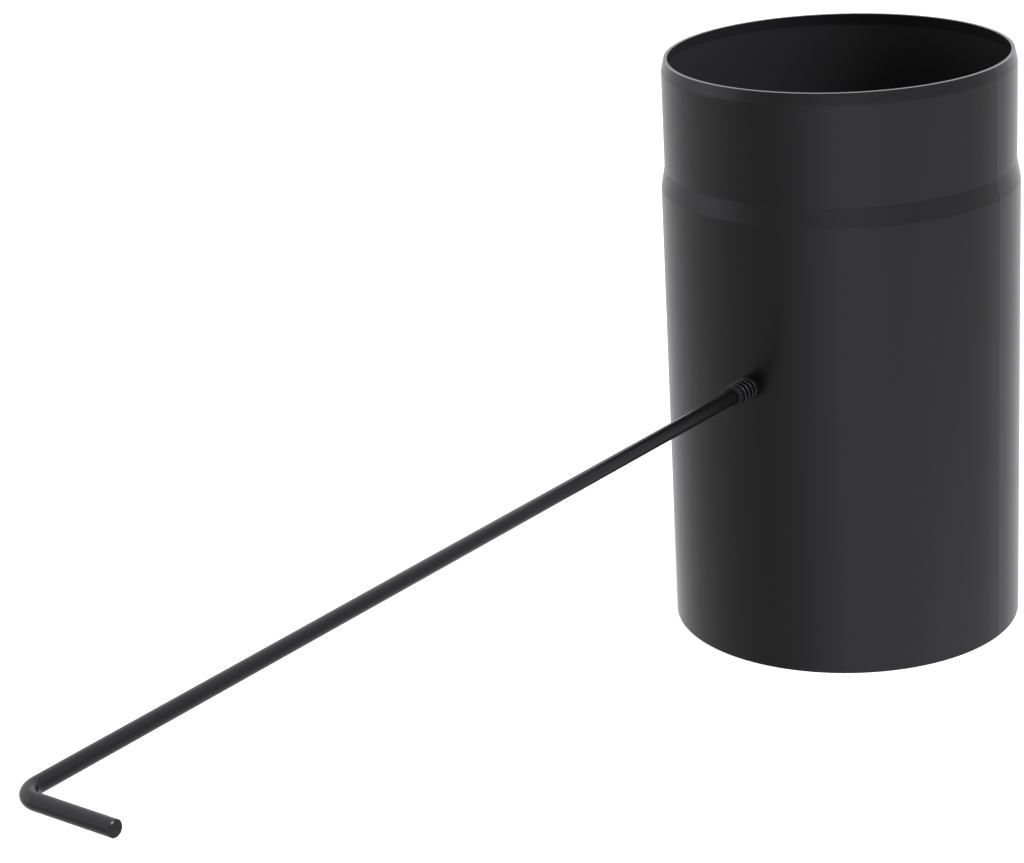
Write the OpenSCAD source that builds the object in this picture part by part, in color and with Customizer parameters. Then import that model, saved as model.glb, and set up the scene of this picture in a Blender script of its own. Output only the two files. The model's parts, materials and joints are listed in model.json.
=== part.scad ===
// Flue pipe damper: a straight length of round stove pipe with a swaged spigot at the top,
// and a throttle plate inside that turns on a long cranked control rod.
//
// Origin: pipe axis at the lower rim. +Z is up the flue. The control rod leaves the pipe
// along -Y (the near side) and its handle leg points along +X, level with the closed plate.
// Millimetres.

/* [Pipe] */
// Outer diameter of the pipe body
pipe_od = 151; // [120:1:200]
// Sheet thickness of the pipe
pipe_wall = 1.5; // [0.8:0.1:2.5]
// Overall height of the pipe, spigot included
pipe_h = 250; // [200:5:400]
// Height of the control rod's axis above the lower rim
rod_h = 125; // [90:1:140]

/* [Spigot] */
// Radial slack of the spigot in the bore of the next pipe
spigot_slack = 0.05; // [0.05:0.05:0.4]
// Height from the upper rim down to where the swage begins to widen
spigot_h = 46.5; // [35:0.5:60]
// Height of the conical swage between body and spigot
swage_h = 8.4; // [5:0.2:14]
// Height of the lead-in cone at the upper rim
lead_in_h = 4.8; // [3:0.2:8]
// How far the lead-in cone draws the rim inwards
lead_in_step = 1.15; // [0.6:0.05:2]
// Radius of the soft folds where the cones meet the straight walls
fold_r = 6; // [2:0.5:10]

/* [Control rod] */
// Diameter of the round bar
rod_d = 6; // [5:0.5:7]
// Distance from the pipe axis to the handle leg's centreline
handle_reach = 492; // [250:1:600]
// Length of the handle leg, from the rod's axis to its tip
handle_leg = 41.5; // [25:0.5:80]
// Radius on the inside of the bend
bend_inner_r = 5; // [0.5:0.5:10]
// Chamfer on both cut ends of the bar
rod_chamfer = 0.4; // [0.2:0.1:0.8]
// Length of bar beyond the split pin's axis
rod_tail = 3.5; // [2.5:0.5:10]

/* [Damper plate] */
// Gap between the rim of the closed plate and the pipe's bore
plate_gap = 2.5; // [1.5:0.1:5]
// Sheet thickness of the plate
plate_t = 1.5; // [1:0.1:2.5]
// Diameter of each draught hole that stays open when the plate is closed
draught_d = 36; // [20:1:40]
// Distance of each draught hole's centre from the rod's axis
draught_x = 37; // [36:1:42]

/* [Straps and fasteners] */
// Distance from the plate's rim to the middle of each strap, along the rod
strap_inset = 31.5; // [24:0.5:44]
// Width of a strap, along the rod
strap_w = 14; // [10:0.5:20]
// Sheet thickness of a strap
strap_t = 1.5; // [1:0.1:2.5]
// Width of each foot of a strap
strap_foot = 9; // [8:0.5:12]
// Shank diameter of the rivets that hold a strap's feet
rivet_d = 3; // [2.5:0.1:3.5]
// Diameter of the domed rivet heads
rivet_head_d = 6; // [5:0.1:6.5]
// Height of the domed rivet heads
rivet_head_h = 1.6; // [1.2:0.1:2.2]
// Diameter of the closed rivet tails
rivet_tail_d = 5; // [4.5:0.1:5.5]
// Height of the closed rivet tails
rivet_tail_h = 1.1; // [0.8:0.1:1.6]
// Thread diameter of the lock bolts that key the rod to the plate
bolt_d = 3; // [2.5:0.1:3.2]
// Length of a lock bolt under its head
bolt_len = 15; // [15:0.5:20]
// Width across the flats of bolt heads and nuts
hex_af = 5.5; // [5.2:0.1:6.5]
// Height of a bolt head
bolt_head_h = 2; // [1.6:0.1:3]
// Height of a nut
nut_h = 2.4; // [2:0.1:2.6]
// Thickness of a spring washer under a nut
lock_washer_t = 0.8; // [0.6:0.1:1]
// Outer diameter of a spring washer
lock_washer_d = 6.2; // [5.8:0.1:7]

/* [Friction spring] */
// Outer diameter of the coil
spring_od = 10; // [9.6:0.1:12]
// Diameter of the spring wire
spring_wire = 1.3; // [1:0.1:1.4]
// Fitted length of the spring
spring_len = 9.9; // [9:0.1:16]
// Number of turns, closed end turns included
spring_turns = 3.5; // [3:0.25:5]
// Closed part of a turn at each end
spring_closed = 0.25; // [0.2:0.05:0.8]
// Angle of the wire's first end round the rod
spring_start = -30; // [-180:10:180]
// Outer diameter of the plain washers at both walls
wall_washer_d = 10; // [9:0.5:14]
// Thickness of the plain washers at both walls
wall_washer_t = 0.8; // [0.5:0.1:1.5]
// Outer diameter of the stop collar that holds the spring
collar_d = 8.8; // [8.6:0.1:14]
// Length of the stop collar
collar_len = 2.6; // [2.4:0.1:8]
// Chamfer on the stop collar's rims
collar_chamfer = 0.2; // [0.2:0.1:0.5]
// Diameter of the pin that fixes the stop collar
collar_pin_d = 1.4; // [1:0.1:1.6]

/* [Split pin] */
// Diameter of each leg of the split pin
leg_d = 0.8; // [0.6:0.1:1]
// Mean diameter of the split pin's eye
eye_d = 2.8; // [2:0.1:4]
// Length of each bent leg end
leg_end = 2.6; // [1.5:0.1:4]
// Radius of the bend in each leg
leg_bend_r = 1; // [0.8:0.1:1.5]
// How far the legs are bent out from the shank
leg_bend_angle = 70; // [30:5:85]

/* [Clearances] */
// Radial running gap between the rod and its holes in the pipe
running_gap = 0.08; // [0.02:0.01:0.1]
// Gap between a plain washer and the wall that it runs against
washer_gap = 0.1; // [0.05:0.05:0.3]
// Radial gap between the rod and the pieces seated round it
seat_gap = 0.05; // [0.02:0.01:0.1]
// Radial gap round bolts, rivets and pins in their holes
shank_gap = 0.05; // [0.02:0.01:0.15]

/* [Hidden] */
$fn = 96;

// Pipe
pipe_r = pipe_od / 2;
bore_r = pipe_r - pipe_wall;
spigot_r = bore_r - spigot_slack;
rim_r = spigot_r - lead_in_step;
spigot_z = pipe_h - spigot_h;
swage_z = spigot_z - swage_h;
lead_in_z = pipe_h - lead_in_h;
fold_steps = 6;

// Rod, measured from the pipe axis towards the handle
rod_r = rod_d / 2;
bend_r = rod_r + bend_inner_r;
washer_seat = pipe_r + washer_gap;
spring_seat = washer_seat + wall_washer_t;
collar_seat = spring_seat + spring_len;
collar_pin_s = collar_seat + collar_len / 2;
split_hole_r = leg_d + shank_gap;
split_pin_s = -(washer_seat + wall_washer_t + split_hole_r);
rod_end_s = split_pin_s - rod_tail;

// Plate and straps: the plate's upper face lies on the rod's axis
plate_r = bore_r - plate_gap;
strap_y = plate_r - strap_inset;
saddle_r = rod_r + seat_gap;
channel_r = saddle_r + plate_t;
crown_r = saddle_r + strap_t;
strap_half = crown_r + strap_foot;
rivet_x = crown_r + strap_foot / 2;
bolt_hole_r = bolt_d / 2 + shank_gap;
rivet_hole_r = rivet_d / 2 + shank_gap;
hex_r = hex_af / 2 / cos(30);
hex_bevel = 0.35;
washer_slit = 0.5;
through = 1;

// Spring and split pin wires
wire_sides = 12;
turn_steps = 28;
spring_r = (spring_od - spring_wire) / 2;
active_turns = spring_turns - 2 * spring_closed;
active_pitch = (spring_len - spring_wire - 2 * spring_closed * spring_wire) / active_turns;
leg_x = leg_d / 2 + 0.02;
eye_r = eye_d / 2;
eye_steps = 24;
bend_steps = 6;

// Points of a soft fold of radius r at corner b, on the way from a to c
function fold(a, b, c, r) =
    let (
        u = (a - b) / norm(a - b),
        v = (c - b) / norm(c - b),
        half = acos(u * v) / 2,
        tangent = r / tan(half),
        centre = b + (u + v) / norm(u + v) * r / sin(half),
        p = b + u * tangent - centre,
        q = b + v * tangent - centre,
        sweep = 180 - 2 * half
    )
    [for (i = [0 : fold_steps])
        centre + (p * sin(sweep * (1 - i / fold_steps)) + q * sin(sweep * i / fold_steps)) / sin(sweep)];

// Puts children at distance s along the rod, with their +Z towards the handle
module on_rod(s) {
    translate([0, -s, rod_h]) rotate([90, 0, 0]) children();
}

// Upright bar or hole through the rod's axis at distance s along the rod
module across_rod(s, r, low, high) {
    translate([0, -s, rod_h + low]) cylinder(r = r, h = high - low);
}

// Round bar of radius r from z = 0 to h, with chamfers at its lower and upper ends
module chamfered_bar(r, h, low, high) {
    rotate_extrude()
        polygon([[0, 0], [r - low, 0], [r, low], [r, h - high], [r - high, h], [0, h]]);
}

// Flat ring
module ring(outer_r, inner_r, h) {
    difference() {
        cylinder(r = outer_r, h = h);
        translate([0, 0, -through]) cylinder(r = inner_r, h = h + 2 * through);
    }
}

// Hexagon prism with bevelled corners on its upper end
module hex_block(h) {
    intersection() {
        rotate([0, 0, 30]) cylinder(r = hex_r, h = h, $fn = 6);
        cylinder(r1 = hex_r + h - hex_bevel, r2 = hex_r - hex_bevel, h = h);
    }
}

// Dome of base diameter d and height h, standing on z = 0
module dome(d, h) {
    sphere_r = (h * h + d * d / 4) / (2 * h);
    intersection() {
        translate([0, 0, h - sphere_r]) sphere(r = sphere_r);
        cylinder(d = d, h = h);
    }
}

// Round wire of diameter d swept through points; side is never parallel to the path
module wire(points, d, side) {
    last = len(points) - 1;
    rings = [for (i = [0 : last])
        let (
            ahead = points[min(i + 1, last)] - points[max(i - 1, 0)],
            n = cross(ahead, side) / norm(cross(ahead, side)),
            m = cross(n, ahead) / norm(ahead)
        )
        [for (k = [0 : wire_sides - 1])
            let (a = 360 * k / wire_sides) points[i] + d / 2 * (n * cos(a) + m * sin(a))]];
    walls = [for (i = [0 : last - 1], k = [0 : wire_sides - 1])
        let (a = i * wire_sides + k, b = i * wire_sides + (k + 1) % wire_sides)
        [a, b, b + wire_sides, a + wire_sides]];
    start_cap = [for (k = [wire_sides - 1 : -1 : 0]) k];
    end_cap = [for (k = [0 : wire_sides - 1]) last * wire_sides + k];
    polyhedron([for (r = rings, p = r) p], concat([start_cap], walls, [end_cap]));
}

module pipe() {
    body_low = [pipe_r, 0];
    body_high = [pipe_r, swage_z];
    neck_low = [spigot_r, spigot_z];
    neck_high = [spigot_r, lead_in_z];
    rim = [rim_r, pipe_h];
    outside = concat(
        [body_low],
        fold(body_low, body_high, neck_low, fold_r),
        fold(body_high, neck_low, neck_high, fold_r),
        fold(neck_low, neck_high, rim, fold_r),
        [rim]
    );
    inside = [for (i = [len(outside) - 1 : -1 : 0]) outside[i] - [pipe_wall, 0]];
    color("#2a2a2c") difference() {
        rotate_extrude($fn = 180) polygon(concat(outside, inside));
        on_rod(-pipe_r - through)
            cylinder(r = rod_r + running_gap, h = pipe_od + 2 * through);
    }
}

module control_rod() {
    straight = handle_reach - bend_r - rod_end_s;
    color("#343537") difference() {
        union() {
            on_rod(rod_end_s) chamfered_bar(rod_r, straight, rod_chamfer, 0);
            translate([bend_r, bend_r - handle_reach, rod_h]) rotate([0, 0, 180])
                rotate_extrude(angle = 90) translate([bend_r, 0]) circle(r = rod_r);
            translate([bend_r, -handle_reach, rod_h]) rotate([0, 90, 0])
                chamfered_bar(rod_r, handle_leg - bend_r, 0, rod_chamfer);
        }
        for (s = [-strap_y, strap_y])
            across_rod(s, bolt_hole_r, -rod_d, rod_d);
        across_rod(collar_pin_s, collar_pin_d / 2 + shank_gap, -rod_d, rod_d);
        across_rod(split_pin_s, split_hole_r, -rod_d, rod_d);
    }
}

// Section of a sheet pressed round the rod: flat wings and a half-round saddle below them
module saddle_section(half_width, outer_r, t) {
    difference() {
        union() {
            translate([-half_width, -t]) square([2 * half_width, t]);
            intersection() {
                circle(r = outer_r);
                translate([-outer_r, -outer_r]) square([2 * outer_r, outer_r]);
            }
        }
        circle(r = saddle_r);
    }
}

module damper_plate() {
    color("#4a4744") difference() {
        intersection() {
            on_rod(-plate_r - through) linear_extrude(height = 2 * (plate_r + through))
                saddle_section(plate_r + through, channel_r, plate_t);
            translate([0, 0, rod_h - channel_r - through])
                cylinder(r = plate_r, h = channel_r + 2 * through, $fn = 180);
        }
        for (x = [-draught_x, draught_x])
            translate([x, 0, rod_h - plate_t - through])
                cylinder(d = draught_d, h = plate_t + 2 * through);
        for (s = [-strap_y, strap_y]) {
            across_rod(s, bolt_hole_r, -channel_r - through, 0);
            for (x = [-rivet_x, rivet_x])
                translate([x, 0, 0])
                    across_rod(s, rivet_hole_r, -plate_t - through, through);
        }
    }
}

module strap(s) {
    color("#77757a") difference() {
        on_rod(s - strap_w / 2) mirror([0, 1, 0]) linear_extrude(height = strap_w)
            saddle_section(strap_half, crown_r, strap_t);
        across_rod(s, bolt_hole_r, 0, crown_r + through);
        for (x = [-rivet_x, rivet_x])
            translate([x, 0, 0]) across_rod(s, rivet_hole_r, -through, strap_t + through);
    }
}

module rivet(s, x) {
    color("#8a8a8d") translate([x, -s, rod_h]) {
        translate([0, 0, -plate_t]) cylinder(d = rivet_d, h = plate_t + strap_t);
        translate([0, 0, strap_t]) dome(rivet_head_d, rivet_head_h);
        translate([0, 0, -plate_t]) mirror([0, 0, 1]) dome(rivet_tail_d, rivet_tail_h);
    }
}

module lock_bolt(s) {
    color("#9a9a9c") {
        translate([0, -s, rod_h + crown_r]) hex_block(bolt_head_h);
        across_rod(s, bolt_d / 2, crown_r - bolt_len, crown_r);
    }
}

module lock_washer(s) {
    color("#8d8d90") translate([0, -s, rod_h - channel_r - lock_washer_t]) difference() {
        ring(lock_washer_d / 2, bolt_hole_r, lock_washer_t);
        translate([lock_washer_d / 4, 0, lock_washer_t / 2]) rotate([45, 0, 0])
            cube([lock_washer_d, washer_slit, 4 * lock_washer_t], center = true);
    }
}

module lock_nut(s) {
    color("#9a9a9c") translate([0, -s, rod_h - channel_r - lock_washer_t])
        mirror([0, 0, 1]) difference() {
            hex_block(nut_h);
            translate([0, 0, -through]) cylinder(r = bolt_hole_r, h = nut_h + 2 * through);
        }
}

module wall_washer(s) {
    color("#3c3d3f") on_rod(s) ring(wall_washer_d / 2, rod_r + seat_gap, wall_washer_t);
}

// Height of the wire's centre after a number of turns, from the spring's seat
function coil_z(turn) =
    let (opened = min(max(turn - spring_closed, 0), active_turns))
    spring_wire / 2 + opened * active_pitch + (turn - opened) * spring_wire;

module friction_spring() {
    steps = round(spring_turns * turn_steps);
    path = [for (i = [0 : steps])
        let (turn = spring_turns * i / steps, a = spring_start + 360 * turn)
        [spring_r * cos(a), spring_r * sin(a), coil_z(turn)]];
    color("#5a5b5e") on_rod(spring_seat) wire(path, spring_wire, [0, 0, 1]);
}

module stop_collar() {
    color("#343537") difference() {
        on_rod(collar_seat) difference() {
            chamfered_bar(collar_d / 2, collar_len, collar_chamfer, collar_chamfer);
            translate([0, 0, -through])
                cylinder(r = rod_r + seat_gap, h = collar_len + 2 * through);
        }
        across_rod(collar_pin_s, collar_pin_d / 2 + shank_gap, -collar_d, collar_d);
    }
}

module collar_pin() {
    pin_half = sqrt(collar_d * collar_d - collar_pin_d * collar_pin_d) / 2;
    color("#6a6b6e") across_rod(collar_pin_s, collar_pin_d / 2, -pin_half, pin_half);
}

// One leg from its free end up to the eye, on the side that sign gives
function leg_points(sign) =
    let (
        bend_z = -rod_r - leg_bend_r / 2,
        centre_x = leg_x + leg_bend_r,
        end_dir = [sin(leg_bend_angle), 0, -cos(leg_bend_angle)],
        bend_end = [centre_x - leg_bend_r * cos(leg_bend_angle), 0,
            bend_z - leg_bend_r * sin(leg_bend_angle)]
    )
    [for (p = concat(
        [bend_end + leg_end * end_dir],
        [for (i = [bend_steps : -1 : 0])
            let (a = leg_bend_angle * i / bend_steps)
            [centre_x - leg_bend_r * cos(a), 0, bend_z - leg_bend_r * sin(a)]]
    )) [sign * p[0], 0, p[2]]];

module split_pin() {
    spread = asin(leg_x / eye_r);
    eye_z = rod_r + leg_d / 2 + eye_r * cos(spread);
    eye = [for (i = [0 : eye_steps])
        let (a = 270 + spread + (360 - 2 * spread) * i / eye_steps)
        [eye_r * cos(a), 0, eye_z + eye_r * sin(a)]];
    other = leg_points(-1);
    path = concat(leg_points(1), eye, [for (i = [len(other) - 1 : -1 : 0]) other[i]]);
    color("#a5a5a8") translate([0, -split_pin_s, rod_h]) wire(path, leg_d, [0, 1, 0]);
}

pipe();
control_rod();
damper_plate();
strap(strap_y);  // strap_near
strap(-strap_y);  // strap_far
rivet(strap_y, -rivet_x);  // rivet_near_left
rivet(strap_y, rivet_x);  // rivet_near_right
rivet(-strap_y, -rivet_x);  // rivet_far_left
rivet(-strap_y, rivet_x);  // rivet_far_right
lock_bolt(strap_y);  // lock_bolt_near
lock_bolt(-strap_y);  // lock_bolt_far
lock_washer(strap_y);  // lock_washer_near
lock_washer(-strap_y);  // lock_washer_far
lock_nut(strap_y);  // lock_nut_near
lock_nut(-strap_y);  // lock_nut_far
wall_washer(washer_seat);  // wall_washer_near
wall_washer(-washer_seat - wall_washer_t);  // wall_washer_far
friction_spring();
stop_collar();
collar_pin();
split_pin();
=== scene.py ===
# Looks of the flue pipe damper: finishes, spring and split pin, light, floor and camera.
import json
import math

import bpy
from mathutils import Matrix, Vector


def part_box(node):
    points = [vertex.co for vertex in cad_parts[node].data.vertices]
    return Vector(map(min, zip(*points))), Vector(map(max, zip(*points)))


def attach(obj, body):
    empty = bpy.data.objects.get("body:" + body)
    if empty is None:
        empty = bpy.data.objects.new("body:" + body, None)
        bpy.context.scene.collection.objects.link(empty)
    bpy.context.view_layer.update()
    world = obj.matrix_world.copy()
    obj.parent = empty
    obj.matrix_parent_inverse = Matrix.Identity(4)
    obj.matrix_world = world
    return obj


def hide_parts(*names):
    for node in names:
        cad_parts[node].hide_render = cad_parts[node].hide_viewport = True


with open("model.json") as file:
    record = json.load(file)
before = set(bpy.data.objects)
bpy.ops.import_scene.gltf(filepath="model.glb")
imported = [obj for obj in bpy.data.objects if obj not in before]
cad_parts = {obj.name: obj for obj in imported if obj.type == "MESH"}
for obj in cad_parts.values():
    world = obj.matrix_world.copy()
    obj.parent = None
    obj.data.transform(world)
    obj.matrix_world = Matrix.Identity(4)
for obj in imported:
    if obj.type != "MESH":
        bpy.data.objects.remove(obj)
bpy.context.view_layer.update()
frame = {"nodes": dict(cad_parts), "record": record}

# Friction spring, in metres, turns and degrees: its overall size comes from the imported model
SPRING_WIRE = 0.0013
SPRING_TURNS = 3.5
SPRING_CLOSED = 0.25
SPRING_START = -30
SPRING_STEPS_PER_TURN = 64

# Split pin, in metres and degrees
LEG_D = 0.0008
LEG_GAP = 0.00004
LEG_BEND_R = 0.001
LEG_BEND_ANGLE = 70
LEG_END = 0.0026
LEG_STEPS = 12
EYE_R = 0.0014
EYE_STEPS = 48

# Just over the radius of the control rod, in metres
BAR_R = 0.00302

# Black finishes: how grey and shiny the paint is, how rough at least and at most, and what is
# added inside the pipe and on the turned collar; the washers and the spring are duller
BLACK_GREY = 0.004
BLACK_SHINE = 0.12
BLACK_ROUGHNESS = (0.29, 0.31)
INSIDE_EXTRA_GREY = 0.016
INSIDE_EXTRA_ROUGHNESS = 0.05
COLLAR_EXTRA_ROUGHNESS = 0.25
WASHER_GREY = 0.006
DULL_ROUGHNESS = 0.42

# Grain of the finishes, in waves per metre, and its depth in metres
PATCHES = 25
PIPE_PATCHES = 18
SPRAY_GRAIN = 700
SPRAY_DEPTH = 0.000002

# Threads of the lock bolts
THREAD_PITCH = 0.0005
THREAD_DEPTH = 0.00012
SHANK_R = 0.00152

# Weld seam down the back of the pipe
SEAM_HALF_WIDTH = 0.0009
SEAM_HEIGHT = 0.00004

# Studio: even light from all round, and soft round lamps on the world's sphere, each with its
# azimuth (0 is -Y, 90 is +X) and elevation in degrees, sharpness and strength. Reflections show
# the white background with the lamps on it, made brighter by SHEEN.
LIGHT_TINT = (1.0, 1.0, 1.1)
FILL = 0.14
SHEEN = 3
WIDE = 8
MEDIUM = 20
SMALL = 60
LAMPS = (
    (35, -12, WIDE, 0.9),  # front right, low: where the sheen on the pipe begins
    (90, -30, WIDE, 0.7),  # right, low: the broad sheen on the pipe
    (190, 30, WIDE, 0.5),  # behind, high: the top of the control rod
    (280, 45, WIDE, 0.8),  # left, high: the top of the handle
    (305, 12, MEDIUM, 1),  # left, level: the shoulder under the spigot
    (0, 90, MEDIUM, 1.5),  # overhead, into the flue
    (100, 45, SMALL, 35),  # right, high: through the open top onto the inside
)

# Floor: width in metres, how grey it is, and how much brighter the camera sees it
FLOOR_SIZE = 30
FLOOR_GREY = 0.5
FLOOR_LIFT = 0.85

# Camera: place in metres, turns in degrees, lens in millimetres
CAMERA_PLACE = (0.6065, -1.0172, 0.5251)
CAMERA_YAW = 37.83
CAMERA_DIP = 20.32
CAMERA_ROLL = 3.37
CAMERA_LENS = 101.1


def node(tree, kind, inputs=(), **settings):
    """A new shader node; inputs gives its sockets values or the sockets of other nodes."""
    made = tree.nodes.new("ShaderNode" + kind)
    for name, value in settings.items():
        setattr(made, name, value)
    for name, value in dict(inputs).items():
        if isinstance(value, bpy.types.NodeSocket):
            tree.links.new(value, made.inputs[name])
        else:
            made.inputs[name].default_value = value
    return made


def math_node(tree, operation, a, b=0.0, c=0.0):
    return node(tree, "Math", {0: a, 1: b, 2: c}, operation=operation).outputs["Value"]


def part_place(tree):
    """The point being shaded, in the part's own frame, in metres."""
    return node(tree, "TexCoord").outputs["Object"]


def noise(tree, waves, detail=2, stretch=(1, 1, 1)):
    """Noise from 0 to 1 in the part's own frame, with a number of waves per metre."""
    place = node(tree, "Mapping", {"Vector": part_place(tree), "Scale": stretch}).outputs["Vector"]
    waved = {"Vector": place, "Scale": waves, "Detail": detail}
    return node(tree, "TexNoise", waved).outputs["Fac"]


def between(tree, value, low, high):
    """Noise turned into a value that lies mostly between low and high."""
    limits = {"Value": value, "From Min": 0.3, "From Max": 0.7, "To Min": low, "To Max": high}
    return node(tree, "MapRange", limits).outputs["Result"]


def blend_colours(tree, value, dark, light):
    ramp = node(tree, "ValToRGB", {"Fac": value})
    ramp.color_ramp.elements[0].position = 0.3
    ramp.color_ramp.elements[0].color = (*dark, 1)
    ramp.color_ramp.elements[1].position = 0.7
    ramp.color_ramp.elements[1].color = (*light, 1)
    return ramp.outputs["Color"]


def relief(tree, height, depth):
    """A bumped normal for a height from 0 to 1 that stands for a depth in metres."""
    return node(tree, "Bump", {"Height": height, "Distance": depth}).outputs["Normal"]


def new_finish(name):
    material = bpy.data.materials.new(name)
    material.use_nodes = True
    return material, material.node_tree


def set_shader(tree, **inputs):
    """Gives the main shader's sockets values or links; underlines stand for spaces."""
    shader = tree.nodes["Principled BSDF"]
    for name, value in inputs.items():
        socket = shader.inputs[name.replace("_", " ")]
        if isinstance(value, bpy.types.NodeSocket):
            tree.links.new(value, socket)
        else:
            socket.default_value = value


def blackened(name, grey, roughness):
    """Smooth black finish with a barely visible grain."""
    material, tree = new_finish(name)
    set_shader(
        tree,
        Base_Color=(grey, grey, grey, 1),
        Roughness=between(tree, noise(tree, PATCHES), roughness - 0.01, roughness + 0.01),
        Specular_IOR_Level=BLACK_SHINE,
        Normal=relief(tree, noise(tree, SPRAY_GRAIN), SPRAY_DEPTH),
    )
    return material


def black_bar():
    """Black finish on the bar, duller on the turned stop collar round it."""
    material, tree = new_finish("black_bar")
    low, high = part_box("stop_collar")
    axes = node(tree, "SeparateXYZ", {"Vector": part_place(tree)})
    off_z = math_node(tree, "SUBTRACT", axes.outputs["Z"], (low.z + high.z) / 2)
    off_z_squared = math_node(tree, "MULTIPLY", off_z, off_z)
    squared = math_node(tree, "MULTIPLY_ADD", axes.outputs["X"], axes.outputs["X"], off_z_squared)
    off_bar = math_node(tree, "GREATER_THAN", squared, BAR_R * BAR_R)
    at_collar = math_node(tree, "GREATER_THAN", axes.outputs["Y"], low.y - 0.001)
    turned = math_node(tree, "MULTIPLY", off_bar, at_collar)
    set_shader(
        tree,
        Base_Color=(BLACK_GREY, BLACK_GREY, BLACK_GREY, 1),
        Roughness=math_node(tree, "MULTIPLY_ADD", turned, COLLAR_EXTRA_ROUGHNESS,
                            between(tree, noise(tree, PATCHES), *BLACK_ROUGHNESS)),
        Specular_IOR_Level=BLACK_SHINE,
        Normal=relief(tree, noise(tree, SPRAY_GRAIN), SPRAY_DEPTH),
    )
    return material


def pipe_paint():
    """Satin black paint outside, duller inside, over a flat weld seam."""
    material, tree = new_finish("pipe_paint")
    coordinates = node(tree, "TexCoord")
    across = node(tree, "VectorMath", {0: coordinates.outputs["Object"], 1: (1, 1, 0)},
                  operation="MULTIPLY").outputs["Vector"]
    outward = node(tree, "VectorMath", {0: across, 1: coordinates.outputs["Normal"]},
                   operation="DOT_PRODUCT").outputs["Value"]
    inside = math_node(tree, "LESS_THAN", outward, -0.02)
    axes = node(tree, "SeparateXYZ", {"Vector": coordinates.outputs["Object"]})
    off_seam = math_node(tree, "DIVIDE", axes.outputs["X"], SEAM_HALF_WIDTH)
    squared = math_node(tree, "MULTIPLY", off_seam, off_seam)
    bead = math_node(tree, "EXPONENT", math_node(tree, "MULTIPLY", squared, -1.0))
    at_back = math_node(tree, "GREATER_THAN", axes.outputs["Y"], 0.0)
    sprayed = math_node(tree, "MULTIPLY", noise(tree, SPRAY_GRAIN), 0.05)
    height = math_node(tree, "MULTIPLY_ADD", bead, at_back, sprayed)
    set_shader(
        tree,
        Base_Color=math_node(tree, "MULTIPLY_ADD", inside, INSIDE_EXTRA_GREY, BLACK_GREY),
        Roughness=math_node(tree, "MULTIPLY_ADD", inside, INSIDE_EXTRA_ROUGHNESS,
                            between(tree, noise(tree, PIPE_PATCHES), *BLACK_ROUGHNESS)),
        Specular_IOR_Level=BLACK_SHINE,
        Normal=relief(tree, height, SEAM_HEIGHT),
    )
    return material


def brushed(name, dark, light, roughness, stretch=(1, 1, 1)):
    """Bare steel, with fine marks that run the way in which stretch is low."""
    material, tree = new_finish(name)
    marks = noise(tree, 1500, 3, stretch)
    set_shader(
        tree,
        Base_Color=blend_colours(tree, noise(tree, 160, 4), dark, light),
        Metallic=1.0,
        Roughness=between(tree, marks, roughness - 0.05, roughness + 0.05),
        Normal=relief(tree, marks, 0.000004),
    )
    return material


def rolled_plate():
    """Dark rolled sheet: mottled scale, slightly shiny, with faint rolling marks."""
    material, tree = new_finish("plate_steel")
    scale = noise(tree, 90, 6)
    marks = noise(tree, 900, 3, (0.06, 1, 1))
    set_shader(
        tree,
        Base_Color=blend_colours(tree, scale, (0.110, 0.112, 0.118), (0.180, 0.176, 0.172)),
        Metallic=0.7,
        Roughness=between(tree, scale, 0.42, 0.54),
        Normal=relief(tree, marks, 0.000005),
    )
    return material


def zinc():
    """Dull zinc plating, with threads on the shanks of the lock bolts."""
    material, tree = new_finish("zinc_steel")
    axes = node(tree, "SeparateXYZ", {"Vector": part_place(tree)})
    bolt_low, bolt_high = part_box("lock_bolt_near")
    bolt_y = -(bolt_low.y + bolt_high.y) / 2
    off_y = math_node(tree, "SUBTRACT", math_node(tree, "ABSOLUTE", axes.outputs["Y"]), bolt_y)
    off_y_squared = math_node(tree, "MULTIPLY", off_y, off_y)
    squared = math_node(tree, "MULTIPLY_ADD", axes.outputs["X"], axes.outputs["X"], off_y_squared)
    on_shank = math_node(tree, "LESS_THAN", squared, SHANK_R * SHANK_R)
    turns = math_node(tree, "DIVIDE", axes.outputs["Z"], THREAD_PITCH)
    crests = math_node(tree, "PINGPONG", turns, 0.5)
    plated = math_node(tree, "MULTIPLY", noise(tree, 1200, 3), 0.03)
    height = math_node(tree, "MULTIPLY_ADD", on_shank, crests, plated)
    set_shader(
        tree,
        Base_Color=blend_colours(tree, noise(tree, 400, 4), (0.40, 0.41, 0.43), (0.52, 0.53, 0.55)),
        Metallic=1.0,
        Roughness=between(tree, noise(tree, 900), 0.30, 0.38),
        Normal=relief(tree, height, THREAD_DEPTH),
    )
    return material


def wire(name, points, diameter):
    """A smooth round wire with capped ends, as a mesh swept along points."""
    curve = bpy.data.curves.new(name, "CURVE")
    curve.dimensions = "3D"
    curve.bevel_depth = diameter / 2
    curve.bevel_resolution = 6
    curve.use_fill_caps = True
    spline = curve.splines.new("POLY")
    spline.points.add(len(points) - 1)
    for target, point in zip(spline.points, points):
        target.co = (*point, 1)
    swept = bpy.data.objects.new(name + "_path", curve)
    bpy.context.scene.collection.objects.link(swept)
    graph = bpy.context.evaluated_depsgraph_get()
    mesh = bpy.data.meshes.new_from_object(swept.evaluated_get(graph))
    bpy.data.objects.remove(swept)
    obj = bpy.data.objects.new(name, mesh)
    bpy.context.scene.collection.objects.link(obj)
    mesh.shade_smooth()
    return obj


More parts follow.
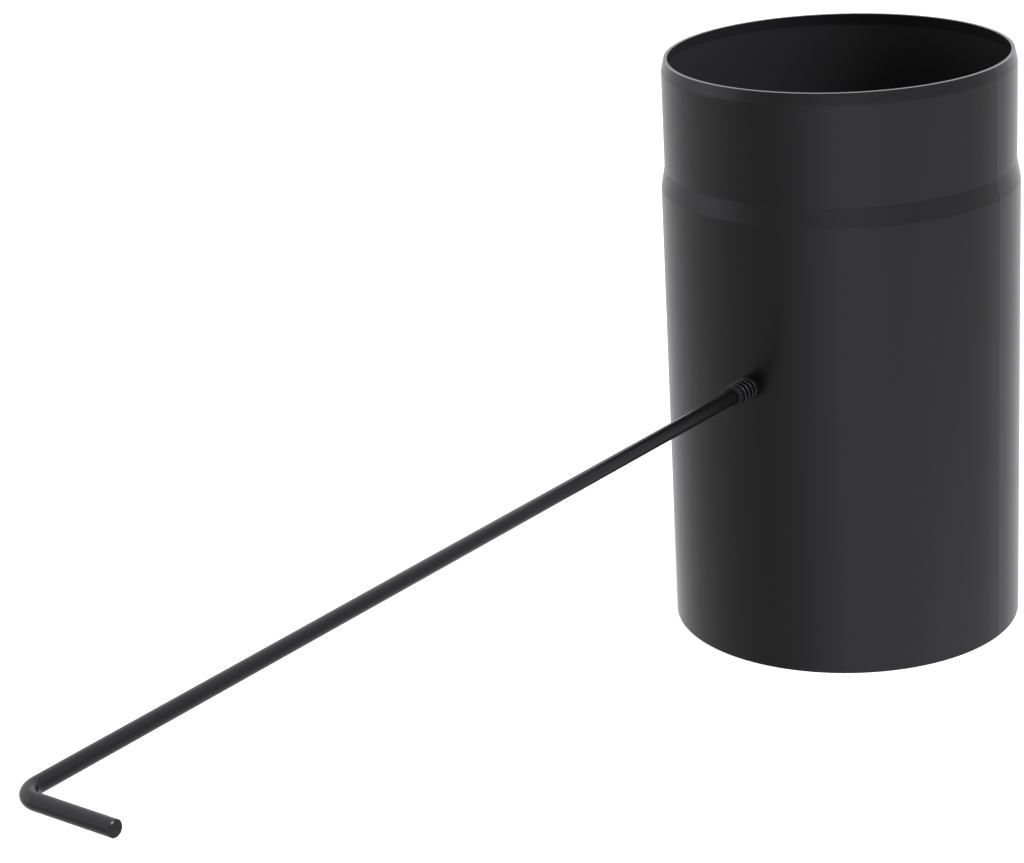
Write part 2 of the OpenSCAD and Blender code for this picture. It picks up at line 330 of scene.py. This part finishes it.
def spring_points():
    low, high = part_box("friction_spring")
    coil_r = (high.x - low.x - SPRING_WIRE) / 2
    axis_z = (low.z + high.z) / 2
    active_turns = SPRING_TURNS - 2 * SPRING_CLOSED
    closed_length = SPRING_WIRE * (1 + 2 * SPRING_CLOSED)
    pitch = (high.y - low.y - closed_length) / active_turns
    points = []
    steps = round(SPRING_TURNS * SPRING_STEPS_PER_TURN)
    for step in range(steps + 1):
        turn = SPRING_TURNS * step / steps
        opened = min(max(turn - SPRING_CLOSED, 0), active_turns)
        along = SPRING_WIRE / 2 + opened * pitch + (turn - opened) * SPRING_WIRE
        angle = math.radians(SPRING_START) + math.tau * turn
        points.append((coil_r * math.cos(angle), high.y - along, axis_z + coil_r * math.sin(angle)))
    return points


def split_pin_points():
    """From one bent leg end up the leg, round the eye and down the other leg."""
    low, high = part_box("split_pin")
    rod_low, rod_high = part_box("control_rod")
    y = (low.y + high.y) / 2
    leg_x = (LEG_D + LEG_GAP) / 2
    spread = math.asin(leg_x / EYE_R)
    eye_z = rod_high.z + LEG_D / 2 + EYE_R * math.cos(spread)
    bend_z = rod_low.z - LEG_BEND_R / 2
    bend_x = leg_x + LEG_BEND_R
    full_bend = math.radians(LEG_BEND_ANGLE)
    leg = []
    for step in range(LEG_STEPS + 1):
        angle = full_bend * (1 - step / LEG_STEPS)
        leg.append((bend_x - LEG_BEND_R * math.cos(angle), bend_z - LEG_BEND_R * math.sin(angle)))
    end_x, end_z = leg[0]
    leg.insert(0, (end_x + LEG_END * math.sin(full_bend), end_z - LEG_END * math.cos(full_bend)))
    eye = []
    for step in range(EYE_STEPS + 1):
        angle = math.radians(270) + spread + (math.tau - 2 * spread) * step / EYE_STEPS
        eye.append((EYE_R * math.cos(angle), eye_z + EYE_R * math.sin(angle)))
    other_leg = [(-x, z) for x, z in reversed(leg)]
    return [(x, y, z) for x, z in leg + eye + other_leg]


def wires(finishes):
    """Smoothly swept wires in place of the model's faceted ones."""
    pieces = (
        ("friction_spring", spring_points(), SPRING_WIRE, "spring_steel"),
        ("split_pin", split_pin_points(), LEG_D, "zinc_steel"),
    )
    for name, points, diameter, slot in pieces:
        piece = wire(name + "_wire", points, diameter)
        piece.data.materials.append(finishes[slot])
        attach(piece, "damper")
        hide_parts(name)


def make_finishes():
    return {
        "pipe_paint": pipe_paint(),
        "black_bar": black_bar(),
        "plate_steel": rolled_plate(),
        "strap_steel": brushed("strap_steel", (0.26, 0.255, 0.25), (0.34, 0.335, 0.33), 0.40,
                               (0.05, 1, 1)),
        "rivet_steel": brushed("rivet_steel", (0.33, 0.325, 0.32), (0.42, 0.415, 0.41), 0.36),
        "zinc_steel": zinc(),
        "black_washer": blackened("black_washer", WASHER_GREY, DULL_ROUGHNESS),
        "spring_steel": blackened("spring_steel", BLACK_GREY, DULL_ROUGHNESS),
    }


def dress(finishes):
    for subpart in frame["record"]["subparts"]:
        for slot in frame["nodes"][subpart["node"]].material_slots:
            slot.material = finishes[subpart["material_slot"]]


def direction(azimuth, elevation):
    a, e = math.radians(azimuth), math.radians(elevation)
    return Vector((math.sin(a) * math.cos(e), -math.cos(a) * math.cos(e), math.sin(e)))


def tinted(strength):
    return [strength * part for part in LIGHT_TINT]


def glow(tree, towards, azimuth, elevation, sharpness, strength):
    """A soft round lamp: strength * exp(sharpness * (cos(angle off its axis) - 1))."""
    cosine = node(tree, "VectorMath", {0: towards, 1: direction(azimuth, elevation)},
                  operation="DOT_PRODUCT").outputs["Value"]
    falloff = math_node(tree, "MULTIPLY_ADD", cosine, sharpness, -sharpness)
    shape = math_node(tree, "EXPONENT", falloff)
    return node(tree, "VectorMath", {0: tinted(strength), "Scale": shape},
                operation="SCALE").outputs["Vector"]


def studio():
    """The world: soft lamps, and a plain white background that reflections and glass show too."""
    world = bpy.data.worlds.new("studio")
    bpy.context.scene.world = world
    world.use_nodes = True
    tree = world.node_tree
    tree.nodes.clear()
    towards = node(tree, "TexCoord").outputs["Generated"]
    total = tinted(FILL)
    for lamp in LAMPS:
        total = node(tree, "VectorMath", {0: total, 1: glow(tree, towards, *lamp)},
                     operation="ADD").outputs["Vector"]
    lit = node(tree, "Background", {"Color": total}).outputs["Background"]
    white = node(tree, "Background", {"Color": (1, 1, 1, 1)}).outputs["Background"]
    lamps = node(tree, "Background", {"Color": total, "Strength": SHEEN}).outputs["Background"]
    reflected = node(tree, "AddShader", {0: white, 1: lamps}).outputs["Shader"]
    path = node(tree, "LightPath").outputs
    glossy = node(tree, "MixShader", {0: path["Is Glossy Ray"], 1: lit, 2: reflected})
    seen = math_node(tree, "MAXIMUM", path["Is Camera Ray"], path["Is Transmission Ray"])
    mixed = node(tree, "MixShader", {0: seen, 1: glossy.outputs["Shader"], 2: white})
    node(tree, "OutputWorld", {"Surface": mixed.outputs["Shader"]})


def floor():
    """A plain white floor that takes a faint shadow and lets the lamps below it through."""
    bpy.ops.mesh.primitive_plane_add(size=FLOOR_SIZE, location=(0, 0, 0))
    obj = bpy.context.object
    obj.name = "floor"
    material, tree = new_finish("floor")
    set_shader(tree, Base_Color=(FLOOR_GREY, FLOOR_GREY, FLOOR_GREY, 1), Roughness=1.0,
               Specular_IOR_Level=0.0)
    seen = node(tree, "LightPath").outputs["Is Camera Ray"]
    dark = node(tree, "Emission", {"Strength": 0.0}).outputs["Emission"]
    bright = node(tree, "Emission", {"Strength": FLOOR_LIFT}).outputs["Emission"]
    lift = node(tree, "MixShader", {0: seen, 1: dark, 2: bright}).outputs["Shader"]
    both = node(tree, "AddShader", {0: tree.nodes["Principled BSDF"].outputs["BSDF"], 1: lift})
    tree.links.new(both.outputs["Shader"], tree.nodes["Material Output"].inputs["Surface"])
    obj.data.materials.append(material)
    obj.visible_glossy = False
    obj.visible_diffuse = False
    obj.visible_shadow = False


def camera():
    data = bpy.data.cameras.new("camera")
    data.lens = CAMERA_LENS
    obj = bpy.data.objects.new("camera", data)
    yaw = Matrix.Rotation(math.radians(CAMERA_YAW), 4, "Z")
    tilt = Matrix.Rotation(math.radians(90 - CAMERA_DIP), 4, "X")
    roll = Matrix.Rotation(math.radians(-CAMERA_ROLL), 4, "Z")
    obj.matrix_world = Matrix.Translation(CAMERA_PLACE) @ yaw @ tilt @ roll
    bpy.context.scene.collection.objects.link(obj)
    bpy.context.scene.camera = obj


finishes = make_finishes()
dress(finishes)
wires(finishes)
studio()
floor()
camera()

bpy.context.scene.view_settings.view_transform = "Standard"
